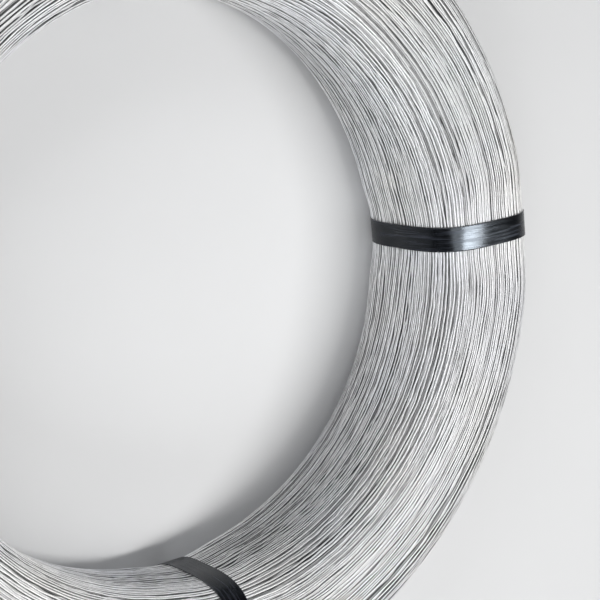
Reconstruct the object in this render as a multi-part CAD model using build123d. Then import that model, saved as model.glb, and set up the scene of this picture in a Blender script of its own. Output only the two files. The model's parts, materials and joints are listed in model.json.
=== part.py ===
from build123d import *
import math
import os

# A coil of spring wire lying flat, tied by four steel straps.
# The coil's axis is +Z and the floor is Z = 0, with the origin on the axis.
# The first strap crosses the winding on the +X side. All sizes are in mm.

# Winding
BORE_RADIUS = 350.0
BUILD = 172.0
HEIGHT = 204.0
SHOULDER_RADIUS = 60.0

# Flat bands round each shoulder, and the grooves that part the turns into bundles
SHOULDER_BANDS = 4
GROOVE_WIDTH = 6.0
GROOVE_DEPTH = 4.0

# Straps, and the waist that each one pulls into the winding
STRAP_COUNT = 4
STRAP_WIDTH = 32.0
STRAP_THICKNESS = 0.9
STRAP_OVERLAP = 76.0
WAIST_DEPTH = 4.5
WAIST_ANGLE = 12.0
WAIST_FLARE = 1.0

# Seals that hold the strap ends
SEAL_LENGTH = 50.0
SEAL_THICKNESS = 0.9
SEAL_CLEARANCE = 0.2
SEAL_SIDE_GAP = 0.3
CRIMP_OFFSET = 11.0
CRIMP_WIDTH = 7.0
CRIMP_DEPTH = 3.0

MID_RADIUS = BORE_RADIUS + BUILD / 2
MID_HEIGHT = HEIGHT / 2
HALF_END = BUILD / 2 - SHOULDER_RADIUS
HALF_WALL = HEIGHT / 2 - SHOULDER_RADIUS
WALL_GROOVE_RISE = HALF_WALL * 2 / 3
SEAL_WIDTH = STRAP_WIDTH + 2 * (SEAL_CLEARANCE + SEAL_THICKNESS)
SEAT_WIDTH = SEAL_WIDTH + 2 * SEAL_SIDE_GAP
SEAT_FACE = BORE_RADIUS + BUILD - WAIST_DEPTH
LAP_THICKNESS = 2 * STRAP_THICKNESS


def strap_line(inset):
    """The smooth section that a strap follows, drawn in by inset from the winding's sides."""
    outline = RectangleRounded(BUILD - 2 * inset, HEIGHT - 2 * inset, SHOULDER_RADIUS - inset)
    return Plane.XZ * Pos(MID_RADIUS, MID_HEIGHT) * outline


def on_shoulder(quarter, share, radius):
    """A point round a shoulder, at a share of its quarter turn, seen from the section's middle."""
    side, level = ((1, 1), (-1, 1), (-1, -1), (1, -1))[quarter]
    angle = math.radians(90 * (quarter + share))
    return side * HALF_END + radius * math.cos(angle), level * HALF_WALL + radius * math.sin(angle)


def winding(inset):
    """The winding's section, its shoulders turned as bands that lie inside the strap's line."""
    corners = []
    for quarter in range(4):
        for band in range(SHOULDER_BANDS + 1):
            corners.append(on_shoulder(quarter, band / SHOULDER_BANDS, SHOULDER_RADIUS - inset))
    return Plane.XZ * Pos(MID_RADIUS, MID_HEIGHT) * Polygon(*corners, align=None)


def groove_places():
    """Each groove's place, seen from the section's middle, and the way it opens in degrees up from +X."""
    places = [(BUILD / 2, -WALL_GROOVE_RISE, 0), (BUILD / 2, WALL_GROOVE_RISE, 0)]
    for x in (-HALF_END, HALF_END):
        places.append((x, HEIGHT / 2, 90))
        places.append((x, -HEIGHT / 2, 270))
    for quarter in range(4):
        places.append((*on_shoulder(quarter, 0.5, SHOULDER_RADIUS), 90 * quarter + 45))
    return places


def groove(x, z, facing):
    """A V groove of full width at x, z on the section's edge, which opens the way it faces."""
    half = GROOVE_WIDTH / 2
    cut = Polygon((half, 0), (0, half), (-half, 0), (0, -GROOVE_DEPTH), align=None)
    return Plane.XZ * Pos(MID_RADIUS + x, MID_HEIGHT + z) * Rot(0, 0, facing - 90) * cut


def turned_ring():
    """The winding as one turned solid, with the grooves between its bundles of turns."""
    profile = winding(0)
    for place in groove_places():
        profile -= groove(*place)
    return revolve(profile, axis=Axis.Z)


def waist_cutter():
    """What the strap on the +X side squeezes away from the winding."""
    room = Plane.XZ * Pos(MID_RADIUS, MID_HEIGHT) * Rectangle(2 * BUILD, 2 * HEIGHT)
    sector = Rot(0, 0, -WAIST_ANGLE) * revolve(room, axis=Axis.Z, revolution_arc=2 * WAIST_ANGLE)
    seat = extrude(strap_line(WAIST_DEPTH), SEAT_WIDTH / 2, both=True)
    near = Pos(0, SEAT_WIDTH / 2, 0) * winding(WAIST_DEPTH)
    far = Rot(0, 0, WAIST_ANGLE) * winding(-WAIST_FLARE)
    flare = loft([near, far], ruled=True)
    return sector - seat - flare - mirror(flare, Plane.XZ)


def crimp_notches():
    """The two pairs of wedges that the crimping tool bites out of seal and strap."""
    wedge = Polygon((0, -CRIMP_WIDTH / 2), (0, CRIMP_WIDTH / 2), (-CRIMP_DEPTH, 0), align=None)
    bite = extrude(Plane.YZ * Pos(SEAL_WIDTH / 2, 0) * wedge, LAP_THICKNESS + 2 * SEAL_THICKNESS)
    bites = []
    for side in (1, -1):
        turned = bite if side > 0 else mirror(bite, Plane.XZ)
        for offset in (-CRIMP_OFFSET, CRIMP_OFFSET):
            bites.append(Pos(SEAT_FACE - SEAL_THICKNESS, 0, MID_HEIGHT + offset) * turned)
    return bites


def make_strap():
    """A closed band round the winding, with its end lapped over its start."""
    loop = strap_line(WAIST_DEPTH - STRAP_THICKNESS) - strap_line(WAIST_DEPTH)
    band = extrude(loop, STRAP_WIDTH / 2, both=True)
    lap = Pos(SEAT_FACE, 0, MID_HEIGHT) * Box(
        LAP_THICKNESS, STRAP_WIDTH, STRAP_OVERLAP, align=(Align.MIN, Align.CENTER, Align.CENTER)
    )
    strap = band + lap
    for bite in crimp_notches():
        strap -= bite
    return strap


def make_seal():
    """A channel of sheet steel folded over the lapped strap ends."""
    place = Pos(SEAT_FACE, 0, MID_HEIGHT)
    seated = (Align.MIN, Align.CENTER, Align.CENTER)
    shell = Box(LAP_THICKNESS + SEAL_THICKNESS, SEAL_WIDTH, SEAL_LENGTH, align=seated)
    folds = shell.edges().filter_by(Axis.Z).group_by(Axis.X)[-1]
    shell = chamfer(folds, SEAL_THICKNESS / 2)
    inside = Box(LAP_THICKNESS, STRAP_WIDTH + 2 * SEAL_CLEARANCE, SEAL_LENGTH, align=seated)
    seal = place * (shell - inside)
    for bite in crimp_notches():
        seal -= bite
    return seal


def main():
    os.makedirs("parts", exist_ok=True)
    coil = turned_ring()
    cutter = waist_cutter()
    strap = make_strap()
    seal = make_seal()
    for i in range(STRAP_COUNT):
        turn = Rot(0, 0, 360 / STRAP_COUNT * i)
        coil -= turn * cutter
        export_step(turn * strap, f"parts/strap_{i + 1}.step")
        export_step(turn * seal, f"parts/seal_{i + 1}.step")
    export_step(coil, "parts/wire_coil.step")


main()
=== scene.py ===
import json
import math

import bpy
import numpy as np
from mathutils import Matrix, Vector


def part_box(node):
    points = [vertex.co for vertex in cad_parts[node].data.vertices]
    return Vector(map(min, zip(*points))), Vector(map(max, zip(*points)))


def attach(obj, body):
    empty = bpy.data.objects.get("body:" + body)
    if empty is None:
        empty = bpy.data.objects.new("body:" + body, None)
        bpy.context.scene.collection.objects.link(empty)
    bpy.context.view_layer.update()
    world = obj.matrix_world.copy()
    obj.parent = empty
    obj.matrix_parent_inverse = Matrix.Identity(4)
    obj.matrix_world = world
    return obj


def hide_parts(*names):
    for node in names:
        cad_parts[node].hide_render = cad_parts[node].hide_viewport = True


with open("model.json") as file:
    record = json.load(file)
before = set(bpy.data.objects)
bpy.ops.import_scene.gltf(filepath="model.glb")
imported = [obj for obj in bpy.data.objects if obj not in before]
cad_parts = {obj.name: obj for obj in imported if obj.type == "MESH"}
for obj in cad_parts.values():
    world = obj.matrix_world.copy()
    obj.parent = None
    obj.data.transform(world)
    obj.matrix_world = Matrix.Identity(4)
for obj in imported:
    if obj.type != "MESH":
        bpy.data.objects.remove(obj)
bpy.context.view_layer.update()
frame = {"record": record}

# A coil of spring wire lying flat, tied by four steel straps that crimped seals hold.
# The coil's axis is +Z, the floor is Z = 0, and the first strap crosses the winding on the +X side.
# All sizes are in metres. The waist's depth and the main sizes of the straps, the seals and their
# crimps are those of the part's source.

# Winding, and how square its smooth section is: 2 gives an ellipse, and more comes nearer a rectangle
MOUNTS = {mount["name"]: mount for mount in frame["record"]["mounts"]}
BORE_RADIUS = MOUNTS["bore"]["dims"]["r_mm"] / 1000
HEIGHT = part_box("wire_coil")[1].z
BUILD = 0.172
SQUARENESS = 3.1
SECTION_POINTS = 4001
MID_RADIUS = BORE_RADIUS + BUILD / 2
MID_HEIGHT = HEIGHT / 2

# Waist under each strap: its depth, what more it has on the bore's wall, half of the stretch that is
# held right down, and the length over which it opens beside that, with the power that shapes the opening
WAIST_DEPTH = 0.0045
BORE_PINCH = 0.0004
WAIST_HALF = 0.020
WAIST_SPREAD = 0.075
WAIST_POWER = 1.5

# Straps, with the rounding of their edges, how far the lap takes to climb onto the start, and how far
# wear reaches in from an edge
STRAP_COUNT = 4
STRAP_WIDTH = 0.032
STRAP_THICKNESS = 0.0009
STRAP_OVERLAP = 0.076
STRAP_EDGE = STRAP_THICKNESS * 0.30
LAP_CLIMB = 0.014
EDGE_WEAR = 0.0011

# Rows of points along a strap and points across its flat, and its slight waves and sway. The rates and
# the lean of the waves are in radians for each metre.
STRAP_STEP = 0.0025
STRAP_FLAT = (0.010, 0.004)
STRAP_WAVES = 6
WAVE_RATES = (60, 150)
WAVE_LEAN = 35
WAVE_HEIGHT = 0.00006
STRAP_SWAY = 0.0006

# Seals, with the radius of their folds, points beside the folds and across the flat, and wear
SEAL_LENGTH = 0.050
SEAL_THICKNESS = 0.0009
SEAL_CLEARANCE = 0.0002
SEAL_WIDTH = STRAP_WIDTH + 2 * (SEAL_CLEARANCE + SEAL_THICKNESS)
SEAL_ROWS = 21
SEAL_FLAT = (0.012, 0.005)
SEAL_WEAR = 0.8
FOLD_RADIUS = 0.0009
BESIDE_FOLD = 0.0002

# Crimps: how far they cut in from the sides, and how far they press the seal's face down. The press
# starts at PRESS_START from the seal's middle line and is full PRESS_RISE further out.
CRIMP_OFFSET = 0.011
CRIMP_WIDTH = 0.007
CRIMP_DEPTH = 0.003
CRIMP_SINK = 0.0004
PRESS_START = 0.006
PRESS_RISE = 0.010

# Wires: those of the surface, a coarser layer under them, and a body of turns under that, its near-black
# colour painted shade
WIRE = 0.0026
STATIONS = 320
SURFACE_WIRES = 272
UNDER_WIRES = 230
UNDER_STRIDE = 3
UNDER_DEPTH = 0.0023
CORE_DEPTH = 0.0050
CORE_ROWS = 60
CORE_COLUMNS = 120

# Where the surface wires lie. The spacing and the opening of seams are in shares of a wire's
# thickness, and the held values are the shares that a strap takes away.
SPACING = (0.86, 0.98)
SEAM_SHARE = 0.16
SEAM_OPENING = 0.42
SHUT_SEAM = 0.35
WIDEST_SEAM = 1.6
BUNDLE_DRIFT = 0.0013
HELD_DRIFT = 0.5
STRAY_SHARE = 0.14
HELD_WANDER = 0.55

# How deep they lie. A strap leaves STRAPPED_SWELL of their hollows. Only wires up to NEIGHBOURS apart in
# number meet, and a wire under another lies lower by NESTING of what keeps them just touching. Wires no
# deeper than SHALLOW press on the layer under them.
REST_DEPTH = 0.0006
SWELL_DEPTH = 0.0009
DEEPEST_REST = 0.002
DEEPEST_OWN = 0.0008
STRAPPED_SWELL = 0.15
NEIGHBOURS = 12
NESTING = 0.98
SHALLOW = 1.2 * WIRE

# Waves of a wire in one turn of the coil: how many its wander adds up, the first of them long, and how
# many short ones its tremble adds up, each between two counts
WANDER_WAVES = 9
LONG_WAVES = 5
TREMBLE_WAVES = 7
TREMBLE_COUNTS = (22, 78)

# Corners of a wire's drawn side, in degrees round it from the outward direction
WIRE_CORNERS = (-100, -52, 0, 52, 100)
UNDER_CORNERS = (-75, 0, 75)

# Steps between the strips of grain that wires and bands take, and where a seal's grain starts
WIRE_STRIP = 0.05
BAND_STRIP = 0.2
SEAL_GRAIN = 0.5

ANGLES = np.linspace(0, 2 * math.pi, STATIONS + 1)


def walk_section():
    """Places, outward normals and distance walked round the winding's section, in the radial plane.

    The section is a smooth curve that keeps to the part's flat sides and shoulders within 3 mm. The
    walk starts at the middle of the bore wall and goes over the top end to the outside."""
    turn = np.linspace(0, 2 * math.pi, SECTION_POINTS)
    cos, sin = np.cos(turn), np.sin(turn)
    x = -np.sign(cos) * np.abs(cos) ** (2 / SQUARENESS) * BUILD / 2
    z = np.sign(sin) * np.abs(sin) ** (2 / SQUARENESS) * HEIGHT / 2
    nx = np.sign(x) * np.abs(2 * x / BUILD) ** (SQUARENESS - 1) / BUILD
    nz = np.sign(z) * np.abs(2 * z / HEIGHT) ** (SQUARENESS - 1) / HEIGHT
    size = np.hypot(nx, nz)
    walked = np.concatenate([[0.0], np.cumsum(np.hypot(np.diff(x), np.diff(z)))])
    return x, z, nx / size, nz / size, walked


*SECTION, WALKED = walk_section()
RIM = WALKED[-1]


def rim(place):
    """Position and outward normal at a place, which is a distance walked round the section."""
    return [np.interp(np.mod(place, RIM), WALKED, column) for column in SECTION]


def gap_between(place, other):
    """The shorter way round the section from one place to another."""
    return np.abs((place - other + RIM / 2) % RIM - RIM / 2)


def strap_distance(angle):
    """Distance along the winding from the middle of the nearest strap."""
    step = 2 * math.pi / STRAP_COUNT
    return np.abs((angle + step / 2) % step - step / 2) * MID_RADIUS


def squeeze(angle):
    """1 under a strap, falling smoothly to 0 away from it."""
    share = np.clip((strap_distance(angle) - WAIST_HALF) / WAIST_SPREAD, 0, 1)
    return (1 - share * share * (3 - 2 * share)) ** WAIST_POWER


def ripple(count, around, across, seed):
    """A smooth noise of place and angle that closes on itself both ways, within about -1 to 1."""
    pick = np.random.default_rng(seed)
    along_turn = pick.integers(1, around + 1, count)
    round_section = pick.integers(-across, across + 1, count)
    phase = pick.uniform(0, 2 * math.pi, count)
    weight = pick.uniform(0.4, 1.0, count) / np.sqrt(count / 3)

    def field(place, angle):
        total = np.zeros(np.broadcast(place, angle).shape)
        for wave in range(count):
            walked = round_section[wave] * 2 * math.pi * place / RIM
            total += weight[wave] * np.cos(along_turn[wave] * angle + walked + phase[wave])
        return total

    return field


swell = ripple(14, around=4, across=5, seed=11)
drift = ripple(18, around=5, across=9, seed=23)


def wander(count, reach, fine, seed):
    """Each wire's own wander along its turn, closed over 360 degrees.

    Reach sizes the long waves, and fine the others."""
    pick = np.random.default_rng(seed)
    total = np.zeros((count, len(ANGLES)))
    for waves in range(1, WANDER_WAVES + 1):
        size = reach / waves ** 1.1 if waves <= LONG_WAVES else fine / waves ** 0.5
        amount = pick.normal(0, size, (count, 1))
        phase = pick.uniform(0, 2 * math.pi, (count, 1))
        total += amount * np.cos(waves * ANGLES[None, :] + phase)
    return total


def tremble(count, size, seed):
    """Short waves along each wire, left by coiling and handling."""
    pick = np.random.default_rng(seed)
    total = np.zeros((count, len(ANGLES)))
    for _ in range(TREMBLE_WAVES):
        waves = pick.integers(*TREMBLE_COUNTS, (count, 1))
        phase = pick.uniform(0, 2 * math.pi, (count, 1))
        total += pick.normal(0, size, (count, 1)) * np.cos(waves * ANGLES[None, :] + phase)
    return total


def lay_surface():
    """Each surface wire's place at each station, and its rank in the order of laying.

    The places come from the spacing, opening seams, a drift in bundles and each wire's own wander.
    A strap holds the seams shut, and the rest back by about half."""
    pick = np.random.default_rng(31)
    held = squeeze(ANGLES)
    spacing = WIRE * pick.uniform(*SPACING, (SURFACE_WIRES, 1)) * np.ones((1, len(ANGLES)))
    seams = pick.random(SURFACE_WIRES) < SEAM_SHARE
    opening = np.clip(wander(SURFACE_WIRES, reach=1.0, fine=0.25, seed=37) - SHUT_SEAM, 0, WIDEST_SEAM)
    spacing += seams[:, None] * opening * WIRE * SEAM_OPENING * (1 - held)
    place = np.cumsum(spacing, axis=0)
    place *= RIM / (place[-1:] + WIRE * 0.5)
    place += BUNDLE_DRIFT * drift(place, ANGLES[None, :]) * (1 - HELD_DRIFT * held)
    own = wander(SURFACE_WIRES, reach=0.0004, fine=0.00012, seed=41)
    own += tremble(SURFACE_WIRES, size=0.00016, seed=42)
    strays = pick.random((SURFACE_WIRES, 1)) < STRAY_SHARE
    own += strays * wander(SURFACE_WIRES, reach=0.0022, fine=0.0003, seed=43)
    return place + own * (1 - HELD_WANDER * held), pick.random(SURFACE_WIRES)


def surface_rest(place):
    """How deep each surface wire would lie if no other wire met it."""
    ease = (1 - squeeze(ANGLES))[None, :]
    hollow = np.clip(REST_DEPTH + SWELL_DEPTH * swell(place, ANGLES[None, :]), 0, DEEPEST_REST)
    own = wander(SURFACE_WIRES, reach=0.0004, fine=0.0001, seed=53)
    own += tremble(SURFACE_WIRES, size=0.0001, seed=54)
    strapped = STRAPPED_SWELL + (1 - STRAPPED_SWELL) * ease
    return hollow * strapped + np.clip(own, 0, DEEPEST_OWN) * ease


def bearing(gap):
    """How far apart in depth two touching wires lie, by the gap between their places."""
    return np.sqrt(np.clip(WIRE ** 2 - gap ** 2, 0, None))


def settle(place, rest, order):
    """How deep each wire lies when they are taken in order and each sinks under those before it."""
    count = len(place)
    depth = rest.copy()
    laid = []
    for wire in order:
        for other in laid:
            if min((wire - other) % count, (other - wire) % count) > NEIGHBOURS:
                continue
            gap = gap_between(place[wire], place[other])
            under = np.maximum(depth[wire], depth[other] + bearing(gap) * NESTING)
            depth[wire] = np.where(gap < WIRE, under, depth[wire])
        laid.append(wire)
    return depth


def settle_under(place, rest, top_place, top_depth):
    """Pushes each under wire below the surface wires that lie over it."""
    depth = rest.copy()
    shallow = top_depth < SHALLOW
    for wire in range(len(place)):
        gap = gap_between(place[wire][None, :], top_place)
        push = np.where((gap < WIRE) & shallow, top_depth + bearing(gap), 0)
        depth[wire] = np.maximum(depth[wire], push.max(axis=0))
    return depth


def smooth(values, width):
    """Smooths along the wire, round the closed turn. The width is in stations."""
    body = values[:, :-1]
    total = np.zeros_like(body)
    shifts = np.arange(-3 * width, 3 * width + 1)
    weights = np.exp(-0.5 * (shifts / width) ** 2)
    for shift, weight in zip(shifts, weights):
        total += weight * np.roll(body, shift, axis=1)
    total /= weights.sum()
    return np.concatenate([total, total[:, :1]], axis=1)


def wire_points(place, depth, angle):
    """Centre lines in space and the outward direction at each point."""
    x, z, nx, nz = rim(place)
    waist = squeeze(angle)[None, :] * (WAIST_DEPTH + BORE_PINCH * np.clip(-nx, 0, 1))
    sunk = waist + depth + WIRE / 2
    radius = MID_RADIUS + x - nx * sunk
    cos, sin = np.cos(angle)[None, :], np.sin(angle)[None, :]
    points = np.stack([radius * cos, radius * sin, MID_HEIGHT + z - nz * sunk], axis=-1)
    outward = np.stack([nx * cos, nx * sin, nz], axis=-1)
    return points, outward


def mesh_piece(name, verts, quads, uv, point_values):
    """A smooth mesh of quads with the UV layer "along" and its point attributes."""
    mesh = bpy.data.meshes.new(name)
    mesh.vertices.add(len(verts))
    mesh.vertices.foreach_set("co", verts.ravel())
    mesh.loops.add(quads.size)
    mesh.loops.foreach_set("vertex_index", quads.ravel().astype(np.int32))
    mesh.polygons.add(len(quads))
    mesh.polygons.foreach_set("loop_start", np.arange(0, quads.size, 4, dtype=np.int32))
    mesh.update(calc_edges=True)
    mesh.polygons.foreach_set("use_smooth", np.ones(len(quads), bool))
    layer = mesh.uv_layers.new(name="along")
    layer.data.foreach_set("uv", uv[quads.ravel()].ravel().astype(np.float32))
    for label, value in point_values.items():
        attribute = mesh.attributes.new(label, "FLOAT", "POINT")
        attribute.data.foreach_set("value", value.ravel().astype(np.float32))
    piece = bpy.data.objects.new(name, mesh)
    bpy.context.scene.collection.objects.link(piece)
    return piece


def sweep(name, points, outward, corners, shade, painted_depth_shade):
    """One mesh of many wires, each an open gutter of faces turned to the outside."""
    wires, stations, _ = points.shape
    around = np.radians(corners)
    count = len(around)
    tangent = np.gradient(points, axis=1)
    tangent /= np.linalg.norm(tangent, axis=2, keepdims=True)
    side = np.cross(tangent, outward)
    side /= np.linalg.norm(side, axis=2, keepdims=True)
    up = np.cross(side, tangent)
    ring = [points + WIRE / 2 * (math.cos(turn) * up + math.sin(turn) * side) for turn in around]
    verts = np.stack(ring, axis=2).reshape(-1, 3)
    spans = np.arange(wires), np.arange(stations - 1), np.arange(count - 1)
    wire, station, corner = np.meshgrid(*spans, indexing="ij")
    first = ((wire * stations + station) * count + corner).ravel()
    quads = np.stack([first, first + count, first + count + 1, first + 1], axis=1)
    step = np.linalg.norm(np.diff(points, axis=1), axis=2)
    run = np.concatenate([np.zeros((wires, 1)), np.cumsum(step, axis=1)], axis=1)
    u = np.repeat(run[:, :, None], count, axis=2)
    v = around[None, None, :] * WIRE / 2 + WIRE_STRIP * np.arange(wires)[:, None, None]
    uv = np.stack([u, np.broadcast_to(v, u.shape)], axis=-1).reshape(-1, 2)
    # Share round the wire from its top, which the material turns into painted shade on the flanks
    painted_flank_shade = np.abs(around) / around.max()
    values = {
        "shade": np.broadcast_to(shade[:, None, None], u.shape),
        "painted_depth_shade": np.broadcast_to(painted_depth_shade[:, :, None], u.shape),
        "painted_flank_shade": np.broadcast_to(painted_flank_shade[None, None, :], u.shape),
    }
    return mesh_piece(name, verts, quads, uv, values)


def tube(name, rows, uv_rows, rub_rows):
    """A closed mesh from rows of points, each row a closed ring, with both ends capped by quads."""
    steps, count, _ = rows.shape
    step, corner = np.meshgrid(np.arange(steps - 1), np.arange(count), indexing="ij")
    first = (step * count + corner).ravel()
    beside = (step * count + (corner + 1) % count).ravel()
    quads = [np.stack([first, first + count, beside + count, beside], axis=1)]
    for start, turn in ((0, 1), ((steps - 1) * count, -1)):
        near = start + np.arange(count // 2 - 1)
        far = 2 * start + count - 1 - near
        quads.append(np.stack([near, near + 1, far - 1, far], axis=1)[:, ::turn])
    quads = np.concatenate(quads)
    return mesh_piece(name, rows.reshape(-1, 3), quads, uv_rows.reshape(-1, 2), {"rub": rub_rows})


def fill(tree, node, sockets):
    """Feeds each named socket from another node's socket, or sets it to plain numbers."""
    for name, source in sockets.items():
        if isinstance(source, bpy.types.NodeSocket):
            tree.links.new(source, node.inputs[name])
        else:
            node.inputs[name].default_value = source


def add_node(tree, kind, sockets=None, **settings):
    """A new node with its own settings made first and its sockets filled after them."""
    node = tree.nodes.new(kind)
    for key, value in settings.items():
        setattr(node, key, value)
    fill(tree, node, sockets or {})
    return node


def node_material(name):
    """A new material and its node tree."""
    material = bpy.data.materials.new(name)
    material.use_nodes = True
    return material, material.node_tree


def fill_shader(tree, sockets):
    """Fills the sockets of a material's own shader."""
    fill(tree, tree.nodes["Principled BSDF"], sockets)


def point_value(tree, label):
    """A point attribute of the mesh."""
    return add_node(tree, "ShaderNodeAttribute", attribute_name=label).outputs["Fac"]


def noise(tree, place, scale, detail):
    """Noise between about 0 and 1, read at a place."""
    sockets = {"Vector": place, "Scale": scale, "Detail": detail}
    return add_node(tree, "ShaderNodeTexNoise", sockets).outputs["Fac"]


def patches(tree, scale, detail):
    """Noise that is fixed to the object."""
    return noise(tree, add_node(tree, "ShaderNodeTexCoord").outputs["Object"], scale, detail)


def grain(tree, scale, detail):
    """Noise drawn out along the UV layer "along"."""
    along = add_node(tree, "ShaderNodeUVMap", uv_map="along")
    stretch = add_node(tree, "ShaderNodeMapping", {"Vector": along.outputs["UV"], "Scale": scale})
    return noise(tree, stretch.outputs["Vector"], scale=1.0, detail=detail)


def remap(tree, value, span, onto, step="LINEAR"):
    """The value, spread from one span onto another and held at both ends."""
    ends = {"From Min": span[0], "From Max": span[1], "To Min": onto[0], "To Max": onto[1]}
    sockets = {"Value": value, **ends}
    return add_node(tree, "ShaderNodeMapRange", sockets, interpolation_type=step).outputs[0]


def times(tree, first, second):
    """The product of two values."""
    return add_node(tree, "ShaderNodeMath", {0: first, 1: second}, operation="MULTIPLY").outputs[0]


def mix_colours(tree, factor, first, second):
    """A colour that goes from the first to the second as the factor goes from 0 to 1."""
    sockets = {"Factor": factor, "A": first, "B": second}
    return add_node(tree, "ShaderNodeMix", sockets, data_type="RGBA").outputs["Result"]


def bump(tree, height, strength, distance):
    """A surface direction that follows a height."""
    sockets = {"Height": height, "Strength": strength, "Distance": distance}
    return add_node(tree, "ShaderNodeBump", sockets).outputs[0]


COOL_SHIFT = (0.95, 0.97, 1.03)
WARM_SHIFT = (1.04, 1.01, 0.96)
RUBBED_STEEL = (0.17, 0.17, 0.178)


def shifted(tint, shift):
    """A tint with its red, green and blue changed by three factors."""
    return tint[0] * shift[0], tint[1] * shift[1], tint[2] * shift[2], 1


def steel_wire(name, tint, roughness):
    """Drawn wire with a fine grain along it, each wire in its own tone, and painted shade where it lies
    deep.

    Patches go from a cooler tint to a warmer one, and painted shade darkens the flanks where wires meet."""
    material, tree = node_material(name)
    drawn = grain(tree, scale=(150, 420, 1), detail=3.0)
    # The first two tones are painted shade: darker the deeper a wire lies, and darker on its flanks
    # where wires meet
    tones = (
        remap(tree, point_value(tree, "painted_depth_shade"), span=(0, 1), onto=(1.0, 0.40)),
        remap(tree, point_value(tree, "painted_flank_shade"), span=(0.35, 0.85), onto=(1.0, 0.15), step="SMOOTHSTEP"),
        remap(tree, drawn, span=(0.3, 0.7), onto=(0.82, 1.09)),
    )
    tone = remap(tree, point_value(tree, "shade"), span=(0, 1), onto=(0.88, 1.06))
    for other in tones:
        tone = times(tree, tone, other)
    cool, warm = shifted(tint, COOL_SHIFT), shifted(tint, WARM_SHIFT)
    tinted = mix_colours(tree, patches(tree, scale=7.0, detail=4.0), cool, warm)
    colour = add_node(tree, "ShaderNodeVectorMath", {0: tinted, 1: tone}, operation="MULTIPLY")
    fill_shader(tree, {
        "Base Color": colour.outputs[0],
        "Roughness": remap(tree, drawn, span=(0, 1), onto=(roughness - 0.10, roughness + 0.12)),
        "Normal": bump(tree, drawn, strength=0.25, distance=0.0002),
        "Metallic": 0.30,
    })
    return material


def band_material(name, base, scratched, sharp, dull):
    """Blued steel: near black, scratched along its length and rubbed bare along its edges."""
    material, tree = node_material(name)
    lines = grain(tree, scale=(14, 300, 1), detail=4.0)
    scratches = remap(tree, lines, span=(0.48, 0.72), onto=(0, 1))
    blued = mix_colours(tree, scratches, (*base, 1), (*scratched, 1))
    rubbed = times(tree, point_value(tree, "rub"), patches(tree, scale=30.0, detail=4.0))
    bare = remap(tree, rubbed, span=(0.28, 0.60), onto=(0, 1))
    length = add_node(tree, "ShaderNodeTangent", direction_type="UV_MAP", uv_map="along")
    fill_shader(tree, {
        "Base Color": mix_colours(tree, bare, blued, (*RUBBED_STEEL, 1)),
        "Roughness": remap(tree, lines, span=(0.3, 0.7), onto=(sharp, dull)),
        "Normal": bump(tree, lines, strength=0.2, distance=0.0001),
        "IOR": 1.33,
        "Specular Tint": (0.77, 0.875, 1.0, 1),
        "Anisotropic": 0.9,
        "Tangent": length.outputs["Tangent"],
    })
    return material


def plain_material(name, low, high, roughness, scale):
    """A dull surface whose colour varies in patches between two."""
    material, tree = node_material(name)
    colour = mix_colours(tree, patches(tree, scale, detail=5.0), (*low, 1), (*high, 1))
    fill_shader(tree, {"Base Color": colour, "Roughness": roughness})
    return material


WIRE_STEEL = steel_wire("wire_steel", tint=(0.938, 0.946, 0.955), roughness=0.64)
# Near-black steel for the inner turns: the darkness is painted shade
PAINTED_SHADE_STEEL = plain_material(
    "core_painted_shade", low=(0.03, 0.032, 0.035), high=(0.06, 0.062, 0.066), roughness=0.6, scale=60
)
BAND_STEEL = band_material(
    "blued_strap", base=(0.0015, 0.0017, 0.0024), scratched=(0.030, 0.033, 0.044), sharp=0.12, dull=0.26
)
SEAL_STEEL = band_material(
    "seal_steel", base=(0.012, 0.013, 0.016), scratched=(0.055, 0.059, 0.068), sharp=0.24, dull=0.40
)

# Surface wires, in four pieces round the section. Each is a quarter of the walk, with the middle of a
# side or an end at its own middle.
places, ranks = lay_surface()
depths = smooth(settle(places, surface_rest(places), list(np.argsort(ranks))), width=1)
quarters = np.floor(4 * np.mod(places.mean(axis=1) / RIM + 0.125, 1.0))
shade_pick = np.random.default_rng(7)
shades = shade_pick.random(SURFACE_WIRES)
for quarter, zone in enumerate(("bore", "top", "outside", "base")):
    chosen = quarters == quarter
    points, outward = wire_points(places[chosen], depths[chosen], ANGLES)
    # How deep each wire lies, as the share of painted shade that its material gives it
    painted_depth_shade = np.clip(depths[chosen] / (2 * WIRE), 0, 1)
    piece = sweep("wires_" + zone, points, outward, WIRE_CORNERS, shades[chosen], painted_depth_shade)
    piece.data.materials.append(WIRE_STEEL)
    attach(piece, "root")
    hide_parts("wire_coil")

# Under wires, evenly spaced but for their own wander, in two halves and with fewer stations
even = (np.arange(UNDER_WIRES)[:, None] + 0.5) * RIM / UNDER_WIRES
under_places = even + wander(UNDER_WIRES, reach=0.0015, fine=0.0002, seed=61)
under_own = np.clip(wander(UNDER_WIRES, reach=0.0006, fine=0.0002, seed=67), 0, DEEPEST_REST)
under_depths = smooth(settle_under(under_places, UNDER_DEPTH + under_own, places, depths), width=1)
coarse = np.append(np.arange(0, STATIONS, UNDER_STRIDE), STATIONS)
under_shades = shade_pick.random(UNDER_WIRES)
middle = UNDER_WIRES // 2
for half, chosen in (("upper", slice(0, middle)), ("lower", slice(middle, None))):
    line, depth = under_places[chosen][:, coarse], under_depths[chosen][:, coarse]
    points, outward = wire_points(line, depth, ANGLES[coarse])
    # Under wires get the full painted shade of the deepest wires
    painted_depth_shade = np.ones(points.shape[:2])
    piece = sweep("under_wires_" + half, points, outward, UNDER_CORNERS, under_shades[chosen], painted_depth_shade)
    piece.data.materials.append(WIRE_STEEL)
    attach(piece, "root")


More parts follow.
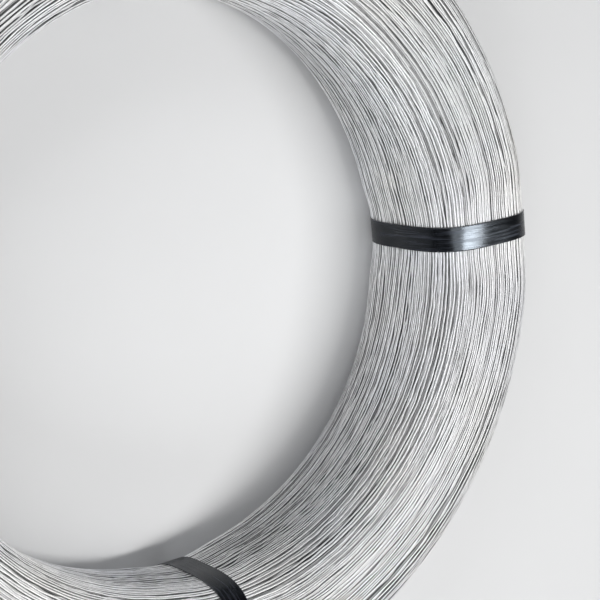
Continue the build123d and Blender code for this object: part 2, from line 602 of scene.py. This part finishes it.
def make_core():
    """The body of turns that lies under the wires drawn one by one, near black with painted shade."""
    place = np.linspace(0, RIM, CORE_ROWS + 1)[:-1]
    angle = np.radians(np.arange(CORE_COLUMNS) * 360 / CORE_COLUMNS)
    x, z, nx, nz = rim(np.repeat(place[:, None], CORE_COLUMNS, axis=1))
    sunk = CORE_DEPTH + squeeze(angle)[None, :] * WAIST_DEPTH
    radius, level = MID_RADIUS + x - nx * sunk, MID_HEIGHT + z - nz * sunk
    points = np.stack([radius * np.cos(angle), radius * np.sin(angle), level], axis=-1)
    row, column = np.meshgrid(np.arange(CORE_ROWS), np.arange(CORE_COLUMNS), indexing="ij")
    start, onward = row * CORE_COLUMNS, (row + 1) % CORE_ROWS * CORE_COLUMNS
    beside = (column + 1) % CORE_COLUMNS
    faces = np.stack([start + column, onward + column, onward + beside, start + beside], axis=-1)
    faces = faces.reshape(-1, 4)
    mesh = bpy.data.meshes.new("inner_turns")
    mesh.from_pydata(points.reshape(-1, 3).tolist(), [], faces.tolist())
    mesh.polygons.foreach_set("use_smooth", [True] * len(faces))
    piece = bpy.data.objects.new("inner_turns", mesh)
    bpy.context.scene.collection.objects.link(piece)
    return piece


core = make_core()
core.data.materials.append(PAINTED_SHADE_STEEL)
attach(core, "root")


def crimp(height):
    """1 in the middle of a crimp's bite and 0 outside it, for a height above the seal's middle."""
    return np.clip(1 - np.abs(np.abs(height) - CRIMP_OFFSET) / (CRIMP_WIDTH / 2), 0, 1)


def both_sides(left):
    """Section points (across, height, rub) of a band's left half, with their mirror images added."""
    return left + [(-across, height, rub) for across, height, rub in reversed(left)]


def drawn_in(across, reach):
    """Places across a band, pulled in to where the crimps let it reach."""
    return np.sign(across)[None, :] * np.minimum(np.abs(across)[None, :], reach)


def turned(rows, angle):
    """Rows of points that are turned about the coil's axis."""
    cos, sin = math.cos(angle), math.sin(angle)
    return rows @ np.array([[cos, sin, 0], [-sin, cos, 0], [0, 0, 1]])


def make_strap(number, angle):
    """A strap that starts under its own lap, goes once round the winding and laps over its start."""
    pick = np.random.default_rng(100 + number)
    place = np.arange(0, RIM + STRAP_OVERLAP, STRAP_STEP) + RIM / 2 - STRAP_OVERLAP / 2
    x, z, nx, nz = rim(place)
    past = place - (RIM * 1.5 - STRAP_OVERLAP / 2)
    climbed = np.clip(past / LAP_CLIMB + 1, 0, 1)
    lift = STRAP_THICKNESS * climbed * climbed * (3 - 2 * climbed)
    half = STRAP_WIDTH / 2
    left = [(-half, 0.0, 0.6), (-half, STRAP_THICKNESS - STRAP_EDGE, 1.0)]
    left += [(STRAP_EDGE - half, STRAP_THICKNESS, 1.0), (EDGE_WEAR - half, STRAP_THICKNESS, 0.1)]
    left += [(-flat, STRAP_THICKNESS, 0) for flat in STRAP_FLAT]
    across, height, rub = np.array(both_sides(left)).T
    near_seal = (np.abs(z) < SEAL_LENGTH / 2) & (x > 0)
    bite = np.where(near_seal, crimp(z), 0.0)[:, None] * CRIMP_DEPTH
    side = drawn_in(across, half - bite)
    wave = np.zeros(side.shape)
    for _ in range(STRAP_WAVES):
        rate = pick.uniform(*WAVE_RATES)
        lean = pick.normal(0, WAVE_LEAN)
        phase = pick.uniform(0, 2 * math.pi)
        wave += pick.normal(0, WAVE_HEIGHT) * np.cos(rate * place[:, None] + lean * side + phase)
    calm = np.where(near_seal, 0.0, 1.0)[:, None]
    sway = STRAP_SWAY * np.sin(2 * math.pi * place / RIM + pick.uniform(0, 6))[:, None] * calm
    out = (lift - WAIST_DEPTH)[:, None] + height[None, :] + wave * calm * (height > 0)
    radius = MID_RADIUS + x[:, None] + nx[:, None] * out
    rows = np.stack([radius, side + sway, MID_HEIGHT + z[:, None] + nz[:, None] * out], axis=-1)
    uv = np.stack([np.broadcast_to(place[:, None], side.shape), side + BAND_STRIP * number], axis=-1)
    return tube(f"strap_band_{number}", turned(rows, angle), uv, np.broadcast_to(rub, side.shape))


def seal_section():
    """Points (across, height, rub) round the seal's channel, and which of them are on its outside."""
    half = SEAL_WIDTH / 2
    top = 2 * STRAP_THICKNESS + SEAL_THICKNESS
    spring = top - FOLD_RADIUS
    left = [(-half, 0.0, 1.0), (-half, spring - BESIDE_FOLD, 0.4)]
    for degrees in (90, 60, 30, 0):
        turn = math.radians(degrees)
        rise = FOLD_RADIUS * math.cos(turn)
        left.append((FOLD_RADIUS * (1 - math.sin(turn)) - half, spring + rise, 0.8))
    left.append((FOLD_RADIUS + 2 * BESIDE_FOLD - half, top, 0.2))
    left += [(-flat, top, 0) for flat in SEAL_FLAT]
    outer = both_sides(left)
    inner = []
    for across, height, rub in reversed(outer):
        within = np.sign(across) * max(abs(across) - SEAL_THICKNESS, 0)
        inner.append((within, max(height - SEAL_THICKNESS, 0), rub))
    return np.array(outer + inner).T, np.arange(2 * len(outer)) < len(outer)


def make_seal(number, angle):
    """A seal: a channel folded over the lapped ends and bitten in at two places on each side."""
    bites = [end * (CRIMP_OFFSET + step * CRIMP_WIDTH / 6) for end in (-1, 1) for step in range(-3, 4)]
    even_rows = np.linspace(-SEAL_LENGTH / 2, SEAL_LENGTH / 2, SEAL_ROWS)
    z = np.unique(np.round(np.concatenate([even_rows, bites]), 6))
    (across, height, rub), outside = seal_section()
    bite = crimp(z)[:, None]
    reach = SEAL_WIDTH / 2 - CRIMP_DEPTH * bite - np.where(outside, 0, SEAL_THICKNESS)[None, :]
    side = drawn_in(across, reach)
    press = np.clip((np.abs(across) - PRESS_START) / PRESS_RISE, 0, 1)[None, :]
    level = height[None, :] - CRIMP_SINK * bite * press * (height > SEAL_THICKNESS)[None, :]
    face = MID_RADIUS + BUILD / 2 - WAIST_DEPTH
    rows = np.stack([face + level, side, MID_HEIGHT + np.broadcast_to(z[:, None], side.shape)], axis=-1)
    rows = turned(rows, angle)
    uv = np.stack([rows[:, :, 2] + SEAL_GRAIN, side + BAND_STRIP * number], axis=-1)
    return tube(f"seal_clip_{number}", rows, uv, np.maximum(SEAL_WEAR * rub[None, :], bite * press))


for number in range(1, STRAP_COUNT + 1):
    angle = 2 * math.pi * (number - 1) / STRAP_COUNT
    for piece, node, part, steel in (
        (make_strap(number, angle), f"strap_{number}", "strap", BAND_STEEL),
        (make_seal(number, angle), f"seal_{number}", "seal", SEAL_STEEL),
    ):
        piece.data.materials.append(steel)
        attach(piece, "root")
        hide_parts(node)

# Floor and backdrop. To the eye and in mirrors, the floor glows from GLOW_REACH on round LIT_MIDDLE,
# and the backdrop goes from HORIZON to OVERHEAD. Apart from the lamps, the light that the coil gathers
# from the room is ROOM_LIGHT.
FLOOR_SIZE = 80
LIT_MIDDLE = (-2.0, 0, 0)
GLOW_REACH = (2.7, 5.2)
FAR_GLOW = 0.50
ROOM_TINT = (0.97, 0.98, 1.0, 1)
ROOM_LIGHT = 0.15
HORIZON = 0.62
OVERHEAD = 0.12
BACKDROP_RISE = (0.05, 0.40)

PALE_FLOOR = plain_material(
    "pale_floor", low=(0.680, 0.684, 0.692), high=(0.725, 0.729, 0.737), roughness=0.9, scale=3
)
bpy.ops.mesh.primitive_plane_add(size=FLOOR_SIZE, location=(0, 0, 0))
floor = bpy.context.object
floor.name = "floor"
floor.data.materials.append(PALE_FLOOR)


def seen_only(tree):
    """1 for the rays that see a surface or mirror it, and 0 for the ones that gather light from it."""
    path = add_node(tree, "ShaderNodeLightPath")
    seen = path.outputs["Is Camera Ray"]
    for name in ("Is Glossy Ray", "Is Transmission Ray"):
        either = {0: seen, 1: path.outputs[name]}
        seen = add_node(tree, "ShaderNodeMath", either, operation="MAXIMUM").outputs[0]
    return seen


def fade_floor(tree):
    """Keeps the far floor pale to the eye, with no more light on the coil."""
    place = add_node(tree, "ShaderNodeTexCoord").outputs["Object"]
    away = add_node(tree, "ShaderNodeVectorMath", {0: place, 1: LIT_MIDDLE}, operation="DISTANCE")
    glow = remap(tree, away.outputs["Value"], GLOW_REACH, (0.0, FAR_GLOW), step="SMOOTHSTEP")
    strength = times(tree, glow, seen_only(tree))
    fill_shader(tree, {"Emission Color": ROOM_TINT, "Emission Strength": strength})


def light_room(world):
    """A pale backdrop to the eye, and an even low light from all round on the coil."""
    world.use_nodes = True
    tree = world.node_tree
    direction = add_node(tree, "ShaderNodeTexCoord").outputs["Generated"]
    rise = add_node(tree, "ShaderNodeSeparateXYZ", {0: direction}).outputs["Z"]
    backdrop = remap(tree, rise, BACKDROP_RISE, (HORIZON, OVERHEAD), step="SMOOTHSTEP")
    level = add_node(tree, "ShaderNodeMix", {"Factor": seen_only(tree), "A": ROOM_LIGHT, "B": backdrop})
    fill(tree, tree.nodes["Background"], {"Color": ROOM_TINT, "Strength": level.outputs["Result"]})


def soft_light(name, place, target, size, power, colour):
    """A rectangular lamp at a place, turned to its target."""
    lamp = bpy.data.lights.new(name, "AREA")
    lamp.shape = "RECTANGLE"
    lamp.size, lamp.size_y = size
    lamp.energy = power
    lamp.color = colour
    light = bpy.data.objects.new(name, lamp)
    light.location = place
    light.rotation_euler = (Vector(target) - Vector(place)).to_track_quat("-Z", "Y").to_euler()
    bpy.context.scene.collection.objects.link(light)


fade_floor(PALE_FLOOR.node_tree)
bpy.context.scene.world = bpy.data.worlds.new("studio")
light_room(bpy.context.scene.world)

WARM = (1.0, 0.992, 0.975)
COOL = (0.970, 0.985, 1.0)
KEY = dict(place=(0.82, -0.43, 2.4), target=(0.82, -0.43, 0), size=(1.7, 0.10), power=41)
KEY_TAIL = dict(place=(-1.20, -0.48, 2.4), target=(-1.20, -0.48, 0), size=(2.2, 0.16), power=12)
FILL = dict(target=(0.0, 0, 0.1), size=(2.0, 2.0), power=56)
soft_light("key", colour=WARM, **KEY)
soft_light("key_tail", colour=WARM, **KEY_TAIL)
soft_light("near_fill", place=(-2.0, -2.6, 2.2), colour=COOL, **FILL)
soft_light("far_fill", place=(-2.0, 2.8, 2.2), colour=COOL, **FILL)

# Camera, above and beyond the coil's -X side: its place, how far its line of sight leans from straight
# down to +X and to -Y, its turn about that line, and its lens in millimetres
CAMERA_PLACE = (-0.990, 0.409, 1.818)
CAMERA_LEAN = math.radians(34.5)
CAMERA_RISE = math.radians(12.5)
CAMERA_ROLL = math.radians(-5.1)
CAMERA_LENS = 102.0


def camera_axes():
    """The camera's right, up and back directions."""
    flat = math.cos(CAMERA_RISE)
    back = Vector((-math.sin(CAMERA_LEAN) * flat, math.sin(CAMERA_RISE), math.cos(CAMERA_LEAN) * flat))
    right = Vector((0, 1, 0)).cross(back).normalized()
    up = back.cross(right)
    cos, sin = math.cos(CAMERA_ROLL), math.sin(CAMERA_ROLL)
    return cos * right + sin * up, cos * up - sin * right, back


camera = bpy.data.objects.new("camera", bpy.data.cameras.new("camera"))
camera.data.lens = CAMERA_LENS
camera.matrix_world = Matrix.Translation(CAMERA_PLACE) @ Matrix(camera_axes()).transposed().to_4x4()
bpy.context.scene.collection.objects.link(camera)
bpy.context.scene.camera = camera
bpy.context.scene.view_settings.view_transform = "Standard"
